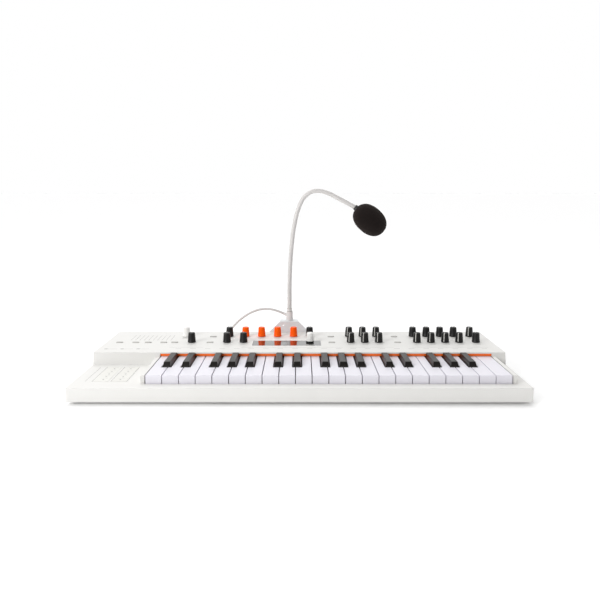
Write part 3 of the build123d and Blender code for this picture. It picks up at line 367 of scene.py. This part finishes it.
# radius and height in millimetres, from the panel up
knob_profile = [
    (0, -2.6), (3.0, -2.6), (3.0, 0.6), (5.75, 0.6), (6.0, 0.85), (6.0, 1.5), (5.85, 1.8), (5.42, 7.6),
    (4.98, 13.3), (4.86, 13.9), (4.6, 14.4), (4.2, 14.65), (3.7, 14.7), (3.3, 14.5), (1.5, 14.4), (0, 14.4),
]
pointer_profile = [
    (5.83, 2.0), (5.42, 7.6), (4.98, 13.3), (4.86, 13.9), (4.6, 14.4), (4.2, 14.65), (3.7, 14.7), (3.3, 14.5),
    (1.7, 14.4),
]
pointer_width = 1.2
ring_height = 2.4
minimum_angle = math.radians(-30)
pointer_at_minimum = {
    "cutoff_knob", "resonance_knob", "filter_drive_knob", "filter_envelope_knob", "filter_velocity_knob",
    "filter_tracking_knob", "attack_knob", "decay_knob", "sustain_knob", "release_knob", "effect_time_knob",
}


def add_pointer(shape, angle):
    """Raised line up a knob's side and over its edge, at an angle clockwise from the player."""
    verts = []
    for radius, height in pointer_profile:
        for side in (-0.5, 0.5):
            verts.append(shape.verts.new((side * pointer_width, -radius - 0.04, height + 0.04)))
    faces = [
        shape.faces.new((verts[i], verts[i + 1], verts[i + 3], verts[i + 2]))
        for i in range(0, len(verts) - 2, 2)
    ]
    made = bmesh.ops.solidify(shape, geom=faces, thickness=0.3)
    line = set(verts) | {v for v in made["geom"] if isinstance(v, bmesh.types.BMVert)}
    bmesh.ops.rotate(shape, cent=(0, 0, 0), matrix=Matrix.Rotation(angle, 3, "Z"), verts=list(line))
    for face in {f for v in line for f in v.link_faces}:
        face.material_index = 1


def make_knob(name):
    """A turned cap with its shaft, and a pointer unless it turns without end."""
    low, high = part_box(name)
    centre = (low + high) / 2
    shape = bmesh.new()
    turned(shape, knob_profile, 48)
    second = pointer_ink
    if name.endswith("_knob"):
        add_pointer(shape, minimum_angle if name in pointer_at_minimum else math.pi)
    if name == "menu_encoder":
        second = knob_black
        bmesh.ops.bisect_plane(
            shape, geom=shape.verts[:] + shape.edges[:] + shape.faces[:], dist=0.01,
            plane_co=(0, 0, ring_height), plane_no=(0, 0, 1),
        )
        for face in shape.faces:
            if face.calc_center_median().z < ring_height:
                face.material_index = 1
    lift = high.z - knob_height * MM
    bmesh.ops.transform(
        shape, verts=shape.verts, matrix=Matrix.Translation((centre.x, centre.y, lift)) @ Matrix.Scale(MM, 4),
    )
    main = knob_orange if name in orange_nodes else knob_white if name in white_nodes else knob_black
    piece = new_piece(name + "_cap", shape, [main, second], name)
    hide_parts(name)


for name in knob_nodes:
    make_knob(name)


# ---------------------------------------------------------------- gooseneck
def spline_points(points, resolution):
    """Places along the smooth line that control points give."""
    curve = bpy.data.curves.new("route", "CURVE")
    curve.dimensions = "3D"
    curve.resolution_u = resolution
    spline = curve.splines.new("NURBS")
    spline.points.add(len(points) - 1)
    for target, point in zip(spline.points, points):
        target.co = (*point, 1)
    spline.order_u = 3
    spline.use_endpoint_u = True
    holder = bpy.data.objects.new("route", curve)
    bpy.context.scene.collection.objects.link(holder)
    bpy.context.view_layer.update()
    mesh = bpy.data.meshes.new_from_object(holder)
    places = [v.co.copy() for v in mesh.vertices]
    bpy.data.objects.remove(holder)
    bpy.data.curves.remove(curve)
    bpy.data.meshes.remove(mesh)
    return places


def evenly(places, step):
    """Places a step apart along a line, and its total length."""
    lengths = [0.0]
    for a, b in zip(places, places[1:]):
        lengths.append(lengths[-1] + (b - a).length)
    total = lengths[-1]
    count = max(2, round(total / step))
    spaced = []
    index = 0
    for k in range(count + 1):
        wanted = total * k / count
        while index < len(lengths) - 2 and lengths[index + 1] < wanted:
            index += 1
        share = (wanted - lengths[index]) / (lengths[index + 1] - lengths[index])
        spaced.append(places[index].lerp(places[index + 1], min(max(share, 0), 1)))
    return spaced


def ribbed_tube(shape, places, radius, pitch_steps, groove, segments):
    """A closed tube along a line, with a groove at every pitch_steps-th place."""
    made = bmesh.ops.create_circle(shape, cap_ends=True, segments=segments, radius=radius)
    ring = made["verts"]
    flat = [v.co.copy() for v in ring]

    def put(verts, k, size):
        ahead = (places[min(k + 1, len(places) - 1)] - places[max(k - 1, 0)]).normalized()
        across = Vector((0, 1, 0)).cross(ahead)
        turn = Matrix((across, Vector((0, 1, 0)), ahead)).transposed().to_4x4()
        matrix = Matrix.Translation(places[k]) @ turn
        for vert, start in zip(verts, flat):
            vert.co = matrix @ (start * size)

    put(ring, 0, 1.0)
    edges = list({e for v in ring for e in v.link_edges})
    for k in range(1, len(places)):
        extruded = bmesh.ops.extrude_edge_only(shape, edges=edges)
        fresh = [g for g in extruded["geom"] if isinstance(g, bmesh.types.BMVert)]
        partner = {}
        for vert in fresh:
            for edge in vert.link_edges:
                other = edge.other_vert(vert)
                if other in ring:
                    partner[other] = vert
        ring = [partner[v] for v in ring]
        phase = 2 * math.pi * (k % pitch_steps) / pitch_steps
        put(ring, k, 1.0 - groove * (0.5 - 0.5 * math.cos(phase + math.pi)))
        edges = [e for e in {e for v in ring for e in v.link_edges} if all(v in ring for v in e.verts)]
    bmesh.ops.contextual_create(shape, geom=ring)


neck_foot = Vector((stem_x, stem_y, stem_high.z - 4 * MM))
# control points of the bend, as (X, Z) in millimetres from the stem's axis and the table
neck_route = [
    (0.0, 96.0), (0.0, 118.0), (1.8, 160.0), (5.7, 198.0), (8.6, 213.0), (11.5, 228.0), (20.5, 252.0),
    (36.0, 264.5), (56.0, 263.0), (78.0, 252.0), (105.5, 237.1),
]
rib_step = 0.5 * MM
neck_line = evenly(
    spline_points([neck_foot] + [Vector((stem_x + x * MM, stem_y, z * MM)) for x, z in neck_route], 64), rib_step,
)
split_z = 166 * MM
split = next(i for i, place in enumerate(neck_line) if place.z > split_z)
split -= split % 4


def make_neck(name, places, replaced):
    """Half of the gooseneck, as a fixed ribbed tube in place of the parts it replaces."""
    shape = bmesh.new()
    ribbed_tube(shape, places, neck_radius, 4, 0.06, 24)
    piece = new_piece(name, shape, [neck_coat], None, smooth_angle=60)
    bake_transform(piece)
    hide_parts(*replaced)


make_neck(
    "gooseneck_sheath_lower", neck_line[:split + 1],
    ("gooseneck_lower",),
)
make_neck(
    "gooseneck_sheath_upper", neck_line[split:],
    ("gooseneck_middle", "gooseneck_upper"),
)

# ---------------------------------------------------------------- windscreen
screen_low, screen_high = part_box("windscreen")
screen_centre = (screen_low + screen_high) / 2
screen_length = 57.5 * MM
screen_radius = (screen_high.y - screen_low.y) / 2
head_angle = math.radians(41)


def make_windscreen():
    """A foam egg over the capsule, closed round its neck and a little uneven."""
    shape = bmesh.new()
    bmesh.ops.create_icosphere(shape, subdivisions=6, radius=1.0)
    blunt = 2.25  # above 2, fuller shoulders than an ellipse
    for vert in shape.verts:
        direction = vert.co.normalized()
        across = math.hypot(direction.y, direction.z)
        direction = direction / (abs(direction.x) ** blunt + across ** blunt) ** (1 / blunt)
        lump = 0.004 * math.sin(7 * direction.x + 2) * math.sin(6 * direction.y + 1) * math.sin(8 * direction.z)
        pore = 0.005 * (random.random() - 0.5)
        vert.co = direction * (1.0 + lump + pore)
    turn = Matrix.Rotation(head_angle, 4, "Y")
    size = Matrix.Diagonal((screen_length / 2, screen_radius, screen_radius, 1))
    bmesh.ops.transform(shape, verts=shape.verts, matrix=Matrix.Translation(screen_centre) @ turn @ size)
    piece = new_piece("foam_windscreen", shape, [foam], "microphone_head", smooth_angle=180)
    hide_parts("windscreen")


make_windscreen()

# ---------------------------------------------------------------- microphone cable and plug
plug_low, plug_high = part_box("mic_plug")
cable_low, cable_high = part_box("mic_cable")
plug_x = (plug_low.x + plug_high.x) / 2
plug_y = plug_high.y - 7 * MM
cable_radius = 1.8 * MM
outlet_angle = math.radians(24)
outlet_dir = Vector((-math.cos(outlet_angle), 0, math.sin(outlet_angle)))
outlet_tip = Vector((stem_x, stem_y, 62 * MM)) + outlet_dir * 10.5 * MM
cable_route = [
    outlet_tip,
    outlet_tip + outlet_dir * 11 * MM,
    Vector((-51.0 * MM, stem_y, 74.3 * MM)),
    Vector((-66.5 * MM, stem_y - 0.3 * MM, 72.8 * MM)),
    Vector((-81.5 * MM, stem_y - 0.8 * MM, 66.6 * MM)),
    Vector((-95.5 * MM, stem_y - 1.3 * MM, 57.0 * MM)),
    Vector((-105.8 * MM, stem_y - 1.8 * MM, 47.0 * MM)),
    Vector((plug_x + 2.1 * MM, plug_y, 39.0 * MM)),
    Vector((plug_x, plug_y, 32.5 * MM)),
    Vector((plug_x, plug_y, 26.0 * MM)),
]


def make_cable():
    """The cable from the stem's outlet to the plug's relief, as one smooth line."""
    curve = bpy.data.curves.new("microphone_cable", "CURVE")
    curve.dimensions = "3D"
    curve.resolution_u = 12
    curve.bevel_depth = cable_radius
    curve.bevel_resolution = 8
    curve.use_fill_caps = True
    spline = curve.splines.new("NURBS")
    spline.points.add(len(cable_route) - 1)
    for target, point in zip(spline.points, cable_route):
        target.co = (*point, 1)
    spline.order_u = 3
    spline.use_endpoint_u = True
    curve.materials.append(cable_pvc)
    cable = bpy.data.objects.new("microphone_cable", curve)
    bpy.context.scene.collection.objects.link(cable)
    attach(cable, "root")
    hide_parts("mic_cable")
    return cable


cable = make_cable()


# ---------------------------------------------------------------- printed marks
ink_height = 0.03 * MM
tier_z = case_low.z + 17.8 * MM
panel_front_y = front_y + 107.0 * MM
cheek_x = case_low.x


def add_line(shape, start, end, width, z):
    """A printed line between two (X, Y) places, as a very low box."""
    a, b = Vector((*start, z)), Vector((*end, z))
    along = b - a
    place = Matrix.Translation((a + b) / 2) @ Matrix.Rotation(math.atan2(along.y, along.x), 4, "Z")
    size = Matrix.Diagonal((along.length, width, 2 * ink_height, 1))
    bmesh.ops.create_cube(shape, size=1.0, matrix=place @ size)


def add_oval(shape, centre, length, width, z):
    """A printed oval lying on a surface."""
    place = Matrix.Translation((*centre, z)) @ Matrix.Diagonal((length / 2, width / 2, ink_height, 1))
    bmesh.ops.create_cone(
        shape, cap_ends=True, segments=24, radius1=1.0, radius2=1.0, depth=2.0, matrix=place,
    )


def make_panel_marks():
    """Generic section lines and legends on the control panel."""
    dark = bmesh.new()
    pale = bmesh.new()
    z = panel_z
    for k in range(3):
        x = cheek_x + (12.4 + 22.9 * k) * MM
        y = panel_front_y + 18 * MM
        add_oval(dark, (x, y), 6.0 * MM, 2.2 * MM, z)
        add_line(pale, (x + 3.5 * MM, y), (x + 15.5 * MM, y), 0.5 * MM, z)
    for k in range(10):
        x = cheek_x + (34 + 6.7 * k) * MM
        add_line(pale, (x, panel_front_y + 68 * MM), (x, panel_front_y + 100 * MM), 0.5 * MM, z)
    knob_places = [(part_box(name)[0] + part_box(name)[1]) / 2 for name in knob_nodes]
    for place in knob_places:
        add_line(
            pale, (place.x - 4.5 * MM, place.y - 12.5 * MM), (place.x + 4.5 * MM, place.y - 12.5 * MM), 1.1 * MM, z,
        )
        for turn in range(-150, 151, 60):
            out = Vector((math.sin(math.radians(turn)), math.cos(math.radians(turn))))
            centre = Vector((place.x, place.y)) + out * 8.2 * MM
            add_line(pale, centre - out * 0.6 * MM, centre + out * 0.6 * MM, 0.4 * MM, z)
    y = panel_front_y + 20 * MM
    for k in range(22):
        x = cheek_x + (115.5 + 20.9 * k) * MM
        add_line(pale, (x - 4 * MM, y), (x + 4 * MM, y), 0.9 * MM, z)
    for start, end in ((101.0, 150.0), (205.0, 352.0), (362.0, 425.0), (452.0, 562.0)):
        y = panel_front_y + 27 * MM
        add_line(dark, (cheek_x + start * MM, y), (cheek_x + end * MM, y), 0.35 * MM, z)
    new_piece("panel_print_dark", dark, [line_ink], "root")
    new_piece("panel_print_pale", pale, [print_ink], "root")


def make_strip_marks():
    """Edges of the two touch strips and the dots that mark their middle lines."""
    dark = bmesh.new()
    pale = bmesh.new()
    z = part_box("touch_strips")[1].z
    near, far = front_y + 26 * MM, front_y + 90 * MM
    for offset, width in ((16.0, 0.2), (25.0, 0.4), (49.0, 0.4), (69.0, 0.2)):
        add_line(dark, (cheek_x + offset * MM, near), (cheek_x + offset * MM, far), width * MM, z)
    for offset in (37.0, 59.0):
        for k in range(5):
            y = near + (8 + 12 * k) * MM
            add_oval(pale, (cheek_x + offset * MM, y), 2.4 * MM, 2.4 * MM, z)
            add_line(
                pale, (cheek_x + (offset - 4) * MM, y + 6 * MM), (cheek_x + (offset + 4) * MM, y + 6 * MM),
                0.25 * MM, z,
            )
    new_piece("strip_print_dark", dark, [line_ink], "root")
    new_piece("strip_print_pale", pale, [print_ink], "root")


make_panel_marks()
make_strip_marks()

# ---------------------------------------------------------------- metal and moulded details
# radius and height in millimetres, out from the rear wall
jack_nut_profile = [
    (3.3, 0.0), (6.4, 0.0), (6.4, 1.0), (6.1, 1.3), (5.0, 1.3), (4.9, 2.0), (4.6, 2.2), (3.3, 2.2),
]
mini_nut_profile = [(1.9, 0.0), (4.2, 0.0), (4.2, 0.8), (3.9, 1.1), (3.1, 1.1), (3.0, 1.9), (1.9, 1.9)]


def open_ring(shape, profile, steps, matrix):
    """A turned ring with a hole through it, from a closed (radius, height) outline."""
    verts = [shape.verts.new((radius, 0, height)) for radius, height in profile]
    edges = [shape.edges.new(pair) for pair in zip(verts, verts[1:] + verts[:1])]
    bmesh.ops.spin(
        shape, geom=verts + edges, cent=(0, 0, 0), axis=(0, 0, 1), angle=2 * math.pi, steps=steps, use_merge=True,
    )
    fresh = {v for f in shape.faces for v in f.verts if not f.tag}
    for face in shape.faces:
        face.tag = True
    bmesh.ops.transform(shape, verts=list(fresh), matrix=matrix)


def make_jack_nuts():
    """Nickel-plated nuts round the rear jacks."""
    shape = bmesh.new()
    outwards = Matrix.Rotation(math.radians(-90), 4, "X") @ Matrix.Scale(MM, 4)
    z = case_low.z + 11 * MM
    for x in (-236.5, -201.5, -166.5, 49.5):
        open_ring(shape, jack_nut_profile, 40, Matrix.Translation((x * MM, back_y, z)) @ outwards)
    open_ring(shape, mini_nut_profile, 32, Matrix.Translation((79.5 * MM, back_y, z)) @ outwards)
    new_piece("jack_nuts", shape, [contact_nickel], "root", smooth_angle=30)


make_jack_nuts()


def make_stem_rings():
    """Two thin rings where the gooseneck is clamped in its collar."""
    shape = bmesh.new()
    for z in (panel_z + 31.4 * MM, panel_z + 35.9 * MM):
        place = Matrix.Translation((stem_x, stem_y, z)) @ Matrix.Scale(MM, 4)
        open_ring(shape, [(4.1, 0.0), (4.55, 0.0), (4.6, 0.35), (4.55, 0.7), (4.1, 0.7)], 40, place)
    new_piece("stem_rings", shape, [contact_nickel], "root")


make_stem_rings()

# ---------------------------------------------------------------- studio
def make_floor():
    """A wide pale floor under the instrument."""
    shape = bmesh.new()
    bmesh.ops.create_grid(shape, x_segments=1, y_segments=1, size=60.0)
    bmesh.ops.translate(shape, verts=shape.verts, vec=(0, 0, table_z))
    material, tree, place = start_material("pale_studio_floor")
    finish_material(
        material, tree,
        {"Roughness": 0.9, "Specular IOR Level": 0.1, "Base Color": linear("#FEFEFE"), "Emission Color": linear("#FFFFFF"),
         "Emission Strength": 0.05},
        {},
    )
    mesh = bpy.data.meshes.new("studio_floor")
    shape.to_mesh(mesh)
    shape.free()
    mesh.materials.append(material)
    floor = bpy.data.objects.new("studio_floor", mesh)
    bpy.context.scene.collection.objects.link(floor)


def add_area_light(name, place, target, size, power):
    """A soft box at a place, facing a target."""
    light = bpy.data.lights.new(name, "AREA")
    light.shape = "DISK"
    light.size = size
    light.energy = power
    lamp = bpy.data.objects.new(name, light)
    bpy.context.scene.collection.objects.link(lamp)
    lamp.location = place
    lamp.rotation_mode = "QUATERNION"
    lamp.rotation_quaternion = (Vector(place) - Vector(target)).to_track_quat("Z", "Y")


def add_sky_light(name, direction, spread_angle, strength):
    """Even, very soft light from a wide patch of ceiling."""
    light = bpy.data.lights.new(name, "SUN")
    light.angle = math.radians(spread_angle)
    light.energy = strength
    lamp = bpy.data.objects.new(name, light)
    bpy.context.scene.collection.objects.link(lamp)
    lamp.rotation_mode = "QUATERNION"
    lamp.rotation_quaternion = Vector(direction).to_track_quat("Z", "Y")


def make_surround(front, back):
    """White studio walls, dimmer in front of the instrument than behind it, and plain white to look at."""
    world = bpy.data.worlds.new("studio_surround")
    world.use_nodes = True
    tree = world.node_tree
    tree.nodes.clear()
    direction = add_node(tree, "ShaderNodeTexCoord").outputs["Generated"]
    depth = add_node(tree, "ShaderNodeSeparateXYZ", links={"Vector": direction}).outputs["Y"]
    walls = spread(tree, depth, front, back, -0.6, 0.6)
    seen = add_node(tree, "ShaderNodeLightPath").outputs["Is Camera Ray"]
    lit = add_node(tree, "ShaderNodeBackground", links={"Strength": walls})
    plain = add_node(tree, "ShaderNodeBackground", {"Strength": 1.0})
    lit.inputs["Color"].default_value = plain.inputs["Color"].default_value = (1, 1, 1, 1)
    both = add_node(
        tree, "ShaderNodeMixShader", links={0: seen, 1: lit.outputs[0], 2: plain.outputs[0]},
    )
    add_node(tree, "ShaderNodeOutputWorld", links={"Surface": both.outputs[0]})
    bpy.context.scene.world = world


make_floor()
add_sky_light("ceiling", (-0.25, 0.55, 1.0), 60, 1.18)
add_area_light("soft_box_left", (-1.3, -1.3, 0.9), (0, 0, 0.03), 0.8, 22)
make_surround(0.34, 0.92)
bpy.context.scene.view_settings.view_transform = "Standard"

camera_distance = 735 * MM  # in front of the case's front edge
camera_height = 263.9 * MM
camera_pitch = math.radians(5)
camera = bpy.data.objects.new("camera", bpy.data.cameras.new("camera"))
bpy.context.scene.collection.objects.link(camera)
camera.data.lens = 36.73
camera.data.sensor_width = 36.0
camera.data.shift_y = -0.0928
camera.location = (0.9 * MM, front_y - camera_distance, camera_height)
camera.rotation_euler = (math.pi / 2 - camera_pitch, 0, 0)
bpy.context.scene.camera = camera
